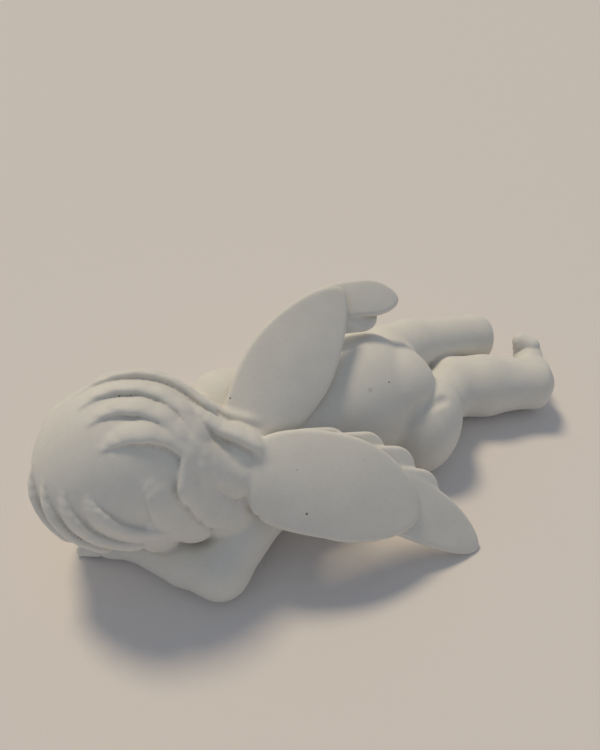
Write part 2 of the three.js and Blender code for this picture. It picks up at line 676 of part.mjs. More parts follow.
// Facets are merged edge by edge, flattest first, until the wanted number is left
const thinOut = (points, faces, wanted) => {
  const place = points.map((p) => [...p]);
  const tri = faces.map((f) => [...f]);
  const alive = new Uint8Array(tri.length).fill(1);
  const around = place.map(() => new Set());
  const stamp = new Uint32Array(place.length);
  const quadric = place.map(() => new Float64Array(10));
  const planeOf = (f) => {
    const [a, b, c] = f.map((n) => place[n]);
    const across = cross(sub(b, a), sub(c, a));
    const n = norm(across);
    return [n, -dot(n, a), len(across)];
  };
  tri.forEach((f, index) => {
    const [n, d, area] = planeOf(f);
    const q = [n[0] * n[0], n[0] * n[1], n[0] * n[2], n[0] * d, n[1] * n[1], n[1] * n[2], n[1] * d];
    q.push(n[2] * n[2], n[2] * d, d * d);
    f.forEach((v) => {
      around[v].add(index);
      q.forEach((value, m) => {
        quadric[v][m] += value * area;
      });
    });
  });
  const cost = (q, p) => {
    const [x, y, z] = p;
    const square = q[0] * x * x + q[4] * y * y + q[7] * z * z + q[9];
    const mixed = q[1] * x * y + q[2] * x * z + q[5] * y * z + q[3] * x + q[6] * y + q[8] * z;
    return square + 2 * mixed;
  };
  const bestPlace = (q, a, b) => {
    const rows = new THREE.Matrix3().set(q[0], q[1], q[2], q[1], q[4], q[5], q[2], q[5], q[7]);
    const choices = [a, b, mix(a, b, 0.5)];
    const scale = q[0] + q[4] + q[7];
    if (Math.abs(rows.determinant()) > 1e-4 * scale ** 3) {
      const solved = new THREE.Vector3(-q[3], -q[6], -q[8]).applyMatrix3(rows.invert());
      const p = solved.toArray();
      if (len(sub(p, choices[2])) < len(sub(a, b))) {
        choices.push(p);
      }
    }
    return choices.map((p) => [cost(q, p), p]).sort((m, n) => m[0] - n[0])[0];
  };
  const heap = [];
  const before = (m, n) => heap[m].cost < heap[n].cost;
  const swap = (m, n) => {
    [heap[m], heap[n]] = [heap[n], heap[m]];
  };
  const push = (item) => {
    heap.push(item);
    let n = heap.length - 1;
    while (n && before(n, (n - 1) >> 1)) {
      swap(n, (n - 1) >> 1);
      n = (n - 1) >> 1;
    }
  };
  const pop = () => {
    swap(0, heap.length - 1);
    const top = heap.pop();
    let n = 0;
    for (;;) {
      let least = n;
      for (const child of [2 * n + 1, 2 * n + 2]) {
        if (child < heap.length && before(child, least)) {
          least = child;
        }
      }
      if (least === n) {
        return top;
      }
      swap(n, least);
      n = least;
    }
  };
  const offer = (a, b) => {
    const q = quadric[a].map((value, m) => value + quadric[b][m]);
    const [price, p] = bestPlace(q, place[a], place[b]);
    const short = 1e-6 * dot(sub(place[a], place[b]), sub(place[a], place[b]));
    push({ cost: price + short, a, b, p, q, when: stamp[a] + stamp[b] });
  };
  const neighbours = (v) => {
    const found = new Set();
    around[v].forEach((f) => tri[f].forEach((n) => found.add(n)));
    found.delete(v);
    return found;
  };
  const tips = (v, gone, p) =>
    [...around[v]].some((f) => {
      if (tri[f].includes(gone)) {
        return false;
      }
      const old = planeOf(tri[f])[0];
      const [a, b, c] = tri[f].map((n) => (n === v ? p : place[n]));
      const across = cross(sub(b, a), sub(c, a));
      const longest = Math.max(len(sub(a, b)), len(sub(b, c)), len(sub(c, a)));
      return dot(norm(across), old) < 0.25 || len(across) < 0.03 * longest * longest;
    });
  tri.forEach((f) => f.forEach((v, m) => v < f[(m + 1) % 3] && offer(v, f[(m + 1) % 3])));
  let left = tri.length;
  while (left > wanted && heap.length) {
    const { a, b, p, q, when } = pop();
    if (!around[a].size || !around[b].size || when !== stamp[a] + stamp[b]) {
      continue;
    }
    const shared = [...around[a]].filter((f) => tri[f].includes(b));
    const ring = neighbours(b);
    const common = [...neighbours(a)].filter((n) => ring.has(n));
    if (shared.length !== 2 || common.length !== 2 || tips(a, b, p) || tips(b, a, p)) {
      continue;
    }
    shared.forEach((f) => {
      alive[f] = 0;
      tri[f].forEach((n) => around[n].delete(f));
    });
    around[b].forEach((f) => {
      tri[f] = tri[f].map((n) => (n === b ? a : n));
      around[a].add(f);
    });
    around[b].clear();
    place[a] = p;
    quadric[a] = q;
    left -= 2;
    stamp[a] += 1;
    const near = neighbours(a);
    near.forEach((n) => {
      stamp[n] += 1;
    });
    near.forEach((n) => {
      neighbours(n).forEach((m) => {
        if (m === a || !near.has(m) || n < m) {
          offer(n, m);
        }
      });
    });
  }
  return { points: place, faces: tri.filter((f, index) => alive[index]) };
};

// The figure stands on flats under its resting places
const stood = {
  ...figure,
  distance: (p) => Math.max(figure.distance(p), restFlat - p[2]),
};
const low = at(-60, -32, -1);
const high = at(50, 36, 42);
const skin = skinOf(stood, low, high, gridStep);
const settled = settle(stood, skin.points, gridStep * 0.4);
const snapBand = gridStep * 0.15;
const snapped = settled.map((p) => (p[2] < restFlat + snapBand ? [p[0], p[1], restFlat] : p));
const cast = thinOut(snapped, skin.faces, facetCount);
const flatPoints = cast.points.map((p) => (p[2] < restFlat + snapBand ? [p[0], p[1], restFlat] : p));

// Facets go through the solid library, which keeps one closed body
const wasm = await Module();
wasm.setup();
const used = new Map();
const packed = [];
const packedFaces = cast.faces.map((face) =>
  face.map((n) => {
    if (!used.has(n)) {
      used.set(n, used.size);
      packed.push(flatPoints[n]);
    }
    return used.get(n);
  }),
);
const solid = new wasm.Manifold(
  new wasm.Mesh({
    numProp: 3,
    vertProperties: Float32Array.from(packed.flat()),
    triVerts: Uint32Array.from(packedFaces.flat()),
  }),
);
const whole = solid.decompose().sort((a, b) => b.volume() - a.volume())[0];
const mesh = whole.getMesh();
const geometry = new THREE.BufferGeometry();
const places = new Float32Array((mesh.vertProperties.length / mesh.numProp) * 3);
for (let i = 0; i < places.length / 3; i += 1) {
  for (let k = 0; k < 3; k += 1) {
    places[i * 3 + k] = mesh.vertProperties[i * mesh.numProp + k];
  }
}
geometry.setAttribute('position', new THREE.BufferAttribute(places, 3));
geometry.setIndex(new THREE.BufferAttribute(new Uint32Array(mesh.triVerts), 1));
geometry.computeBoundingBox();
const box = geometry.boundingBox;
geometry.translate(-(box.min.x + box.max.x) / 2, -(box.min.y + box.max.y) / 2, -restFlat);
geometry.computeVertexNormals();

const bisque = new THREE.MeshStandardMaterial({ color: 0xe6e3da, roughness: 0.62 });
bisque.name = 'bisque_porcelain';
const body = new THREE.Mesh(geometry, bisque);
body.name = 'angel_figure';
const angel = new THREE.Group();
angel.name = 'porcelain_angel_figurine';
angel.add(body);

export default angel;
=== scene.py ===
import math

import bpy
import numpy as np
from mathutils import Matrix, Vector


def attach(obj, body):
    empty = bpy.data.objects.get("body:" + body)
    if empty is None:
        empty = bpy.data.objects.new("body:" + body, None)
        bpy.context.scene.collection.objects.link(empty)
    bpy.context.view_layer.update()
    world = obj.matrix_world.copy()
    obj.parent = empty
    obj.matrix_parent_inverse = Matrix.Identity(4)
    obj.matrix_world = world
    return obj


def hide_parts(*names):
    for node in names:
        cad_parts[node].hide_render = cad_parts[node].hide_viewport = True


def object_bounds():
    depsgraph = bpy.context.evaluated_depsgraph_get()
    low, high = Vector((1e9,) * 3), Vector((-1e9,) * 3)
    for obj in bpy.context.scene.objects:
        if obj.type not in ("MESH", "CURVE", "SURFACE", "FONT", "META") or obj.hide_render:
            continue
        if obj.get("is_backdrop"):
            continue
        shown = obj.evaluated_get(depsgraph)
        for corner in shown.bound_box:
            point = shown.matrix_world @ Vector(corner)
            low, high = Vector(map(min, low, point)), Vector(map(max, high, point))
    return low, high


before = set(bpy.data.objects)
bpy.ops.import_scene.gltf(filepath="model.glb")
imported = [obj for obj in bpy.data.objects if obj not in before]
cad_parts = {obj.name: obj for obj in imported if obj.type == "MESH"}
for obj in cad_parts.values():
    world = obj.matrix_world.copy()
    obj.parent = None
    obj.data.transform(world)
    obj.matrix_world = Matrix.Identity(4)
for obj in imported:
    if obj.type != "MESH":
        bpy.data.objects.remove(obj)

cad_low, cad_high = (list(corner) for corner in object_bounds())

# Sizes in millimetres, as in the CAD part
figure_length = 145
head_width = 37.5
hair_depth = 3.2
torso_depth = 33
thigh_width = 21
calf_width = 15.5
upper_arm_width = 15
wing_thickness = 4.4
wing_chord = 22
foot_length = 15.5
rest_flat = 1

# Sampling of the free form
coarse_step = 2.4
fine_step = 0.46
most_facets = 190000
near_band = 1.8
far_away = 1e3

unit = figure_length / 100


def at(x, y, z):
    """A place in hundredths of the figure's length: x to the feet, y to the front, z up."""
    return np.array([x, y, z], np.float32) * unit


def norm(a):
    return np.asarray(a, np.float32) / max(float(np.linalg.norm(a)), 1e-9)


def mix(a, b, t):
    return a * (1 - t) + b * t


def rows(v):
    return np.sqrt(np.einsum("ij,ij->i", v, v))


def smooth_min(a, b, k):
    h = np.maximum(k - np.abs(a - b), 0) / k
    return np.minimum(a, b) - h * h * k / 4


def frame_of(first, second):
    """Three square axes: the first is kept, the second is turned square to it."""
    a = norm(first)
    b = norm(np.asarray(second, np.float32) - a * np.dot(a, second))
    return [a, b, np.cross(a, b)]


straight = [np.array(a, np.float32) for a in ((1, 0, 0), (0, 1, 0), (0, 0, 1))]


# Free forms: each is a centre, the reach of a sphere that holds it, and a distance function
def ellipsoid(centre, radii, axes=straight):
    turn = np.stack(axes, axis=1)
    radii = np.array(radii, np.float32)

    def distance(p):
        q = (p - centre) @ turn
        k0 = rows(q / radii)
        k1 = np.maximum(rows(q / radii**2), 1e-6)
        return np.where(k0 < 1e-3, -radii.min(), k0 * (k0 - 1) / k1)

    return centre, float(radii.max()), distance


def holding_sphere(points, extra):
    centre = np.mean(points, axis=0)
    return centre, max(float(np.linalg.norm(p - centre)) for p in points) + extra


def limb(points, radii):
    """A round rod through its joints, with its own radius at each joint."""

    def distance(p):
        best = np.full(len(p), far_away, np.float32)
        for a, b, ra, rb in zip(points, points[1:], radii, radii[1:]):
            along = b - a
            t = np.clip((p - a) @ along / np.dot(along, along), 0, 1)
            away = rows(p - a - t[:, None] * along)
            best = np.minimum(best, away - (ra + (rb - ra) * t))
        return best

    return (*holding_sphere(points, max(radii)), distance)


blade_steps = 10
blade_passes = 3
past_tip = 1.25


def blade(ends, faces, half_width, dome, edge, start=0.6, rise=0.4, fall=0.4, bluntness=2):
    """A plate along a curve, domed over its width, with rounded edges and a rounded tip."""
    bow = ends[0] - 2 * ends[1] + ends[2]
    lead = 2 * (ends[1] - ends[0])
    middle = ends[0] + 0.5 * lead + 0.25 * bow
    span = float(np.linalg.norm(middle - ends[0]) + np.linalg.norm(ends[2] - middle))

    def place(t):
        return ends[0] + t[:, None] * lead + (t * t)[:, None] * bow

    def distance(p):
        best = np.full(len(p), far_away, np.float32)
        share = np.zeros(len(p), np.float32)
        for i in range(blade_steps + 1):
            t = i / blade_steps
            away = rows(p - (ends[0] + t * lead + t * t * bow))
            nearer = away < best
            best = np.where(nearer, away, best)
            share = np.where(nearer, np.float32(t), share)
        for _ in range(blade_passes):
            off = place(share) - p
            slope = lead + 2 * share[:, None] * bow
            first = np.einsum("ij,ij->i", off, slope)
            second = np.einsum("ij,ij->i", slope, slope) + 2 * off @ bow
            share = np.clip(share - first / np.maximum(second, 1), 0, past_tip)
        v = p - place(share)
        slope = lead + 2 * share[:, None] * bow
        ahead = slope / rows(slope)[:, None]
        face = faces[0] + share[:, None] * (faces[1] - faces[0])
        face = face - ahead * np.einsum("ij,ij->i", face, ahead)[:, None]
        face /= rows(face)[:, None]
        side = np.cross(ahead, face)
        up = np.sqrt(np.maximum(0, 1 - (1 - np.minimum(1, share / rise)) ** 2))
        wide = half_width * (start + (1 - start) * up)
        long = span * (1 - fall)
        across = np.abs(np.einsum("ij,ij->i", v, side)) / wide
        past = np.maximum(0, (share - fall) / (1 - fall))
        out = np.maximum(across**bluntness + past**bluntness, 1e-9) ** (1 / bluntness)
        steep = np.sqrt((across ** (bluntness - 1) / wide) ** 2 + (past ** (bluntness - 1) / long) ** 2)
        rim = (out - 1) / np.maximum(steep * out ** (1 - bluntness), 1 / half_width)
        high = edge + (dome - edge) * (1 - np.minimum(share, 1) ** 2)
        crest = edge + (high - edge) * np.maximum(0, 1 - out**2)
        over = np.maximum(0, rim + edge)
        rise_off = np.einsum("ij,ij->i", v, face)
        root_off = np.where(share <= 0, np.einsum("ij,ij->i", v, ahead), 0)
        return np.sqrt(over**2 + rise_off**2 + root_off**2) - crest

    return (*holding_sphere([ends[0], middle, ends[2]], half_width + dome), distance)


def strand(points, outward, wide, high):
    """A lock: a rod along a line of points, flattened towards the head, thick and blunt at its end."""

    def distance(p):
        best = np.full(len(p), far_away, np.float32)
        count = len(points) - 1
        for i in range(count):
            along = points[i + 1] - points[i]
            t = np.clip((p - points[i]) @ along / np.dot(along, along), 0, 1)
            share = (i + t) / count
            v = p - points[i] - t[:, None] * along
            out = outward[i] + t[:, None] * (outward[i + 1] - outward[i])
            rise_off = np.einsum("ij,ij->i", v, out)
            flat_off = np.sqrt(np.maximum(0, np.einsum("ij,ij->i", v, v) - rise_off**2))
            w = wide * (0.3 + 0.7 * np.minimum(1, share * 2))
            h = high * (0.1 + 0.9 * np.minimum(1, share * 2))
            k0 = np.sqrt((flat_off / w) ** 2 + (rise_off / h) ** 2)
            k1 = np.maximum(np.sqrt((flat_off / w**2) ** 2 + (rise_off / h**2) ** 2), 1e-6)
            best = np.minimum(best, k0 * (k0 - 1) / k1)
        return best

    return (*holding_sphere(points, wide), distance)


def group(parts):
    """Forms that melt into each other, each over its own width."""
    centre, reach = holding_sphere([form[0] for form, _ in parts], max(form[1] for form, _ in parts))

    def distance(p):
        d = np.full(len(p), far_away, np.float32)
        for (middle, span, form), melt in parts:
            near = rows(p - middle) - span < np.minimum(d, 4 * coarse_step) + melt
            if near.any():
                d[near] = smooth_min(d[near], form(p[near]), melt)
        unset = d >= far_away
        d[unset] = rows(p[unset] - centre)
        return d

    return centre, reach, distance


def hollow(form, cutter, melt):
    def distance(p):
        return -smooth_min(-form[2](p), cutter[2](p), melt)

    return form[0], form[1], distance


# Joints of the figure
head_centre = at(-41.2, 1.9, 17.3)
neck_base = at(-27.5, 1.5, 15.5)
near_shoulder = at(-23.5, -7.5, 10)
near_elbow = at(-33.8, -14.2, 4.9)
near_wrist = at(-44.4, -2.8, 3.4)
far_shoulder = at(-24.6, 7.2, 19)
far_elbow = at(-17.5, 19.5, 8.5)
far_wrist = at(-28.5, 20.5, 3.6)
near_hip = at(9, -1.5, 8.2)
near_knee = at(23.4, 5.2, 6.6)
near_ankle = at(38.2, -0.2, 6.5)
far_hip = at(7, 5, 14)
far_knee = at(18, 14.6, 12)
far_ankle = at(34.8, 15.8, 8.2)

# Torso: a chest turned on its side and forward, a soft belly and the two hips
torso_axes = frame_of([1, 0, 0], [0, -0.65, 0.76])
half = torso_depth / 2
trunk = group([
    (ellipsoid(at(-19, 2, 13.2), [half * 1.15, half * 0.8, half * 1.02], torso_axes), 4),
    (ellipsoid(at(-3.5, 5, 12), [half * 1.05, half * 0.92, half * 1.02], torso_axes), 6),
    (ellipsoid(at(3.6, 6.2, 12.2), [half * 0.8, half * 0.9, half], torso_axes), 6),
    (limb([neck_base, head_centre], [half * 0.56, half * 0.52]), 4),
    (ellipsoid(far_shoulder, [half * 0.54, half * 0.5, half * 0.48]), 5),
    (ellipsoid(near_shoulder, [half * 0.5, half * 0.48, half * 0.5]), 5),
])

# Legs: seat, thigh and calf
seat = thigh_width / 2
calf = calf_width / 2
near_calf = mix(near_knee, near_ankle, 0.4)
near_leg = group([
    (
        ellipsoid(
            at(11.4, -3.2, 8),
            [seat * 1.26, seat * 0.84, seat * 0.92],
            frame_of([0.52, 0.42, 0.74], [0.85, -0.42, -0.2]),
        ),
        2,
    ),
    (limb([near_hip, near_knee], [seat * 0.8, calf * 1.04]), 3),
])
near_shin = group([
    (limb([near_knee, near_calf], [calf * 1.18, calf * 1.14]), 2),
    (limb([near_calf, near_ankle], [calf * 1.14, calf * 0.95]), 2),
])
far_leg = group([
    (ellipsoid(at(7.4, 2.6, 13.9), [seat * 1.02, seat * 0.98, seat]), 2),
    (ellipsoid(at(12.6, 1.6, 12.2), [seat * 0.5, seat * 0.46, seat * 0.4]), 2.5),
    (limb([far_hip, at(10.5, 12.2, 13.4), far_knee], [seat * 0.9, seat * 0.9, calf * 1.06]), 4),
    (limb([far_knee, far_ankle], [calf * 1.06, calf * 0.94]), 2),
])
seat_fold = limb(
    [at(5.6, -5.3, 12.4), at(7.2, -4.9, 15.4), at(12.6, -5, 15.6)],
    [calf * 0.04, calf * 0.15, calf * 0.13],
)
hips = hollow(group([(trunk, 3), (near_leg, 1.8), (far_leg, 0.9)]), seat_fold, 1.6)

toe_count = 5
sole_melt = 1.2


def foot(ankle, toward, sole, inner, curl):
    """Heel, flat sole and five toes that get smaller to the outside."""
    ahead, down, _ = frame_of(toward, sole)
    inner = np.array(inner, np.float32)
    across = norm(inner - ahead * np.dot(inner, ahead) - down * np.dot(inner, down))
    heel = ankle + down * calf * 0.2
    ball = heel + ahead * foot_length * 0.56
    parts = [
        (ellipsoid(heel, [calf * 0.92, calf * 0.88, calf * 0.84]), 2),
        (limb([heel, ball], [calf * 0.82, calf * 0.6]), 3),
        (ellipsoid(ball, [calf * 0.6, calf * 0.56, calf * 0.78], [ahead, down, across]), 2),
    ]
    toes = norm(ahead * (1 - curl) - down * curl)
    for i in range(toe_count):
        side = (toe_count - 1) / 2 - i
        size = calf * (0.32 - 0.035 * i)
        root = ball + across * side * calf * 0.33 + ahead * calf * 0.28
        tip = root + toes * foot_length * (0.24 - 0.024 * i)
        parts.append((limb([root, tip], [size * 0.92, size]), 0.5))
    whole = group(parts)
    ground = heel + down * calf * 0.4

    def distance(p):
        return -smooth_min(-whole[2](p), (ground - p) @ down, sole_melt)

    return whole[0], whole[1], distance


near_foot = foot(near_ankle, [0.5, 0.83, 0.1], [0.86, -0.5, 0.02], [0, -0.3, 0.85], 0.62)
far_foot = foot(far_ankle, [0.05, 0.76, -0.5], [0.93, -0.3, -0.1], [0, -0.3, -0.9], 0.2)

# Arms and hands
arm_half = upper_arm_width / 2
near_arm = group([
    (limb([near_shoulder, near_elbow], [arm_half * 1.02, arm_half * 0.84]), 3),
    (
        limb(
            [near_elbow, mix(near_elbow, near_wrist, 0.4), near_wrist],
            [arm_half * 0.82, arm_half * 0.84, arm_half * 0.52],
        ),
        2.5,
    ),
])
far_arm = group([
    (limb([far_shoulder, far_elbow], [arm_half * 1.04, arm_half * 0.84]), 3),
    (
        limb(
            [far_elbow, mix(far_elbow, far_wrist, 0.4), far_wrist],
            [arm_half * 0.82, arm_half * 0.82, arm_half * 0.54],
        ),
        2.5,
    ),
])
finger_count = 4


def hand(wrist, toward, palm, thumb_side):
    ahead, down, across = frame_of(toward, palm)
    side = 1 if np.dot(across, thumb_side) > 0 else -1
    middle = wrist + ahead * arm_half * 0.75
    flat = ellipsoid(middle, [arm_half * 0.72, arm_half * 0.34, arm_half * 0.62], [ahead, down, across])
    parts = [(limb([wrist, middle], [arm_half * 0.5, arm_half * 0.42]), 2), (flat, 2)]
    for i in range(finger_count):
        offset = ((finger_count - 1) / 2 - i) * arm_half * 0.3 * side
        root = middle + ahead * arm_half * 0.45 + across * offset
        tip = root + ahead * arm_half * (0.78 - 0.07 * abs(i - 1)) + down * arm_half * 0.14
        parts.append((limb([root, tip], [arm_half * 0.19, arm_half * 0.17]), 0.5))
    thumb_root = middle + across * arm_half * 0.46 * side - ahead * arm_half * 0.1
    thumb_tip = thumb_root + ahead * arm_half * 0.6 + across * arm_half * 0.24 * side
    parts.append((limb([thumb_root, thumb_tip], [arm_half * 0.22, arm_half * 0.18]), 1))
    return group(parts)


near_hand = hand(near_wrist, [-0.72, 0.6, -0.12], [0, 0, -1], [0.6, 0.7, 0])
far_hand = hand(far_wrist, [-0.98, -0.12, -0.1], [0, 0, -1], [0, -1, 0])

# Head: a round child's skull that rests on its left side, with the face turned to the front
skull = head_width / 2
head_axes = frame_of([0.1, 0.88, -0.42], [-1, 0.1, 0])
face_dir, crown_dir, side_dir = head_axes


def on_head(out, up, side):
    return head_centre + skull * (face_dir * out + crown_dir * up + side_dir * side)


def bump(out, up, side, a, b, c):
    return ellipsoid(on_head(out, up, side), [a * skull, b * skull, c * skull], head_axes)


def both_sides(make, melt):
    return [(make(1), melt), (make(-1), melt)]


sockets = group(both_sides(lambda s: bump(1.08, -0.08, 0.35 * s, 0.2, 0.16, 0.24), 0.5))
face = group([
    (
        hollow(
            group([
                (ellipsoid(head_centre, [skull * 1.04, skull * 1.06, skull * 0.98], head_axes), 2),
                *both_sides(lambda s: bump(0.66, -0.4, 0.4 * s, 0.36, 0.34, 0.34), 4),
                (bump(0.78, -0.74, 0, 0.22, 0.2, 0.26), 4),
            ]),
            sockets,
            1.6,
        ),
        1,
    ),
    *both_sides(lambda s: bump(0.84, -0.1, 0.35 * s, 0.165, 0.115, 0.17), 0.8),
    (limb([on_head(0.98, 0.02, 0), on_head(1.08, -0.26, 0)], [skull * 0.06, skull * 0.085]), 1.6),
    *both_sides(lambda s: bump(1.0, -0.28, 0.085 * s, 0.06, 0.05, 0.06), 0.8),
    (bump(1.0, -0.47, 0, 0.06, 0.045, 0.17), 0.5),
    (bump(0.98, -0.56, 0, 0.065, 0.05, 0.13), 0.5),
])

# Hair: a smooth cap with locks that leave the left of the crown and sweep round to the nape
hair_shell = [skull * 1.06, skull * 1.13, skull * 1.03]
face_edge = 0.5
face_edge_melt = 1.5
chin_dir = norm(face_dir * 0.9 - crown_dir * 0.42)
hair_base = group([
    (ellipsoid(head_centre + at(-0.6, 0.3, 0.6), hair_shell, head_axes), 2),
    (limb([at(-37, 0, 17.6), at(-27.2, -4.4, 17.8)], [skull * 0.82, skull * 0.47]), 4),
    (limb([at(-37, -2, 15), at(-30, -7.6, 11.8)], [skull * 0.8, skull * 0.44]), 4),
])


def hair_distance(p):
    v = p - head_centre
    to_face = v @ chin_dir - face_edge * rows(v)
    return -smooth_min(-hair_base[2](p), -to_face, face_edge_melt)


hair_cap = (hair_base[0], hair_base[1], hair_distance)
curl_centre = norm([-0.186, -0.763, 0.619])
curl_top = frame_of(curl_centre, [0.251, 0.572, 0.781])[1]
curl_right = np.cross(curl_top, curl_centre)
lock_steps = 9
lock_sink = 0.2
lock_start = 1.2
lock_tilt = 0.5
lock_melt = 0.35
slope_step = 0.4
halvings = 14


def shell_place(way, sink):
    """The place on the hair's surface in a direction from the middle of the head."""
    low_r, high_r = skull * 0.5, skull * 2
    for _ in range(halvings):
        r = (low_r + high_r) / 2
        inside = hair_base[2]((head_centre + way * r)[None, :])[0] < 0
        low_r, high_r = (r, high_r) if inside else (low_r, r)
    return head_centre + way * (low_r - sink)


def shell_normal(point):
    places = np.array([point, *(point + slope_step * axis for axis in straight)], np.float32)
    values = hair_base[2](places)
    return norm(values[1:] - values[0])


def lock(clocks, outs, wide, high):
    """A lock on the head: clock angles and angles out from the middle of the curl, in degrees."""
    points = []
    inwards = []
    for i in range(lock_steps + 1):
        t = i / lock_steps
        weights = [(1 - t) * (1 - 2 * t), 4 * t * (1 - t), t * (2 * t - 1)]
        clock = math.radians(sum(w * c for w, c in zip(weights, clocks)))
        out = math.radians(sum(w * o for w, o in zip(weights, outs)))
        ring = curl_top * math.cos(clock) + curl_right * math.sin(clock)
        way = norm(curl_centre * math.cos(out) + ring * math.sin(out))
        inwards.append(curl_centre * math.sin(out) - ring * math.cos(out))
        sink = lock_sink * hair_depth * (1 + lock_start * (1 - t) ** 2)
        points.append(shell_place(way, sink).astype(np.float32))
    outward = []
    for i, (point, inward) in enumerate(zip(points, inwards)):
        along = norm(points[min(i + 1, lock_steps)] - points[max(i - 1, 0)])
        edge_way = lock_tilt * (inward - along * np.dot(along, inward))
        outward.append(frame_of(along, shell_normal(point) - edge_way)[1])
    return strand(points, outward, wide, hair_depth * (high + lock_sink)), lock_melt


over_crown = [
    ([-62, -4, 50], [66, 82, 78], 4.2, 0.3),
    ([-54, -1, 84], [51, 62, 50], 4.3, 0.34),
    ([-54, 4, 103], [38, 46, 40], 4.3, 0.36),
    ([-64, 14, 117], [27, 30, 60], 4.2, 0.36),
]
under_crown = [
    ([-100, -146, -196], [27, 34, 48], 4, 0.32),
    ([-88, -130, -176], [39, 48, 56], 3.9, 0.34),
    ([-82, -116, -154], [53, 61, 66], 3.8, 0.34),
    ([-74, -102, -132], [69, 74, 76], 3.8, 0.34),
]
at_nape = [
    ([36, 55, 72], [88, 87, 84], 3.6, 0.3),
    ([30, 58, 85], [68, 66, 74], 4.4, 0.4),
    ([28, 62, 98], [54, 48, 63], 4.2, 0.42),
    ([60, 100, 117], [30, 42, 63], 4.3, 0.42),
    ([60, 126, 139], [6, 28, 65], 4.3, 0.42),
    ([140, 156, 161], [22, 46, 77], 3.9, 0.42),
]
fringe_count = 11
fringe_first = -160
fringe_step = 22
fringe_sway = 12
sway_rate = 2.2
fringe_lean = 14
fringe_outs = [84, 101, 120]
fringe_wide = 4
fringe_high = 0.5
fringe = []
for i in range(fringe_count):
    clock = fringe_first + fringe_step * i
    sway = fringe_sway * math.sin(sway_rate * i)
    clocks = [clock, clock + sway, clock + fringe_lean]
    fringe.append((clocks, fringe_outs, fringe_wide, fringe_high))
locks = [lock(*row) for row in (*over_crown, *under_crown, *at_nape, *fringe)]
hair = group([(hair_cap, 1.2), *locks])

# Wings: a smooth rounded covert, a row of short feathers and the long feathers at the tip
wing_half = wing_thickness / 2
chord_half = wing_chord / 2
feather_edge = wing_half * 0.42


def feather(root, middle, tip, faces, wide, blunt_from, bluntness=2):
    dome = wing_half * 0.62
    return blade([root, middle, tip], faces, wide, dome, feather_edge, 0.7, 0.5, blunt_from, bluntness), 0.4


near_root = at(-24.8, -9, 19.3)
near_plane = frame_of([0.788, -0.412, -0.458], [0.6155, 0.545, 0.569])


def on_wing(along, back, lift):
    return near_root + (near_plane[0] * along + near_plane[1] * back + near_plane[2] * lift) * unit


near_faces = [norm([0, -0.74, 0.67]), norm([0.08, -0.7, 0.7])]
layer_step = 0.34
near_rows = [
    ((1, 2.6), (7.4, 5.8), (13, 7.9), 3.4),
    ((6, 3), (13.4, 6.6), (19.6, 9.1), 4),
    ((11, 2.8), (18.8, 6.2), (25.4, 8.3), 4.2),
    ((16, 2.2), (24, 4.6), (30.6, 5.7), 4.2),
]
near_primary = [on_wing(12, 2, 0.8), on_wing(27, 4, 1.8), on_wing(41, 0.1, 0)]
near_wing = group([
    *(
        feather(
            on_wing(*root, 0.5 - layer_step * (4 - i)),
            on_wing(*middle, 2.1 - layer_step * (4 - i)),
            on_wing(*tip, 0.9 - layer_step * (4 - i)),
            near_faces,
            wide * unit,
            0.72,
            2.3,
        )
        for i, (root, middle, tip, wide) in enumerate(near_rows)
    ),
    feather(*near_primary, near_faces, chord_half * 0.66, 0.46, 1.8),
    (
        blade(
            [on_wing(0.6, -1.7, 0.2), on_wing(13, 3.4, 3.5), on_wing(27.3, 1.2, 2)],
            near_faces,
            chord_half * 1.07,
            wing_half * 1.45,
            feather_edge,
            0.66,
            0.4,
            0.5,
            1.8,
        ),
        0.4,
    ),
])
far_faces = [norm([-0.05, -0.6, 0.8]), norm([0.3, -0.62, 0.72])]
far_covert = blade(
    [at(-24, -2.9, 20), at(-13.4, 3, 28.4), at(0.7, 12.6, 32)],
    far_faces,
    chord_half,
    wing_half * 1.2,
    feather_edge,
    0.44,
    0.56,
    0.42,
    1.6,
)
far_wing = group([
    feather(at(-4.9, 12.3, 27), at(0.1, 9.9, 28), at(7.2, 11.4, 25.4), far_faces, chord_half * 0.4, 0.7),
    feather(
        at(-3.8, 14.4, 28.6),
        at(3.4, 11.6, 30.6),
        at(12.2, 12.1, 27),
        far_faces,
        chord_half * 0.46,
        0.62,
        1.8,
    ),
    (far_covert, 0.5),
])

figure = group([
    (hips, 3),
    (near_shin, 1),
    (near_arm, 2.4),
    (far_arm, 2.4),
    (near_foot, 2),
    (far_foot, 2),
    (near_hand, 1.2),
    (far_hand, 1.2),
    (face, 1.2),
    (hair, 0.8),
    (far_wing, 1.4),
    (near_wing, 0.9),
])


def stood(p):
    """The figure with flats under its resting places."""
    return np.maximum(figure[2](p), rest_flat - p[:, 2])


def sampled(low, high):
    """Distances on a fine grid: worked out near the surface, filled in by sign elsewhere."""
    ratio = max(1, round(coarse_step / fine_step))
    coarse = fine_step * ratio
    cells = [int(math.ceil((high[k] - low[k]) / coarse)) for k in range(3)]
    axes = [low[k] + coarse * (np.arange(cells[k], dtype=np.float32) + 0.5) for k in range(3)]
    middles = np.stack(np.meshgrid(*axes, indexing="ij"), axis=-1).reshape(-1, 3)
    rough = stood(middles).reshape(cells)
    values = np.where(rough < 0, -far_away, far_away).astype(np.float32)
    for axis in range(3):
        values = np.repeat(values, ratio, axis)
    near = np.argwhere(np.abs(rough) < coarse * near_band)
    inner = np.stack(np.meshgrid(*[np.arange(ratio)] * 3, indexing="ij"), axis=-1).reshape(-1, 3)
    fine = (near[:, None, :] * ratio + inner[None, :, :]).reshape(-1, 3)
    places = np.array(low, np.float32) + fine.astype(np.float32) * fine_step
    values[fine[:, 0], fine[:, 1], fine[:, 2]] = stood(places)
    return values


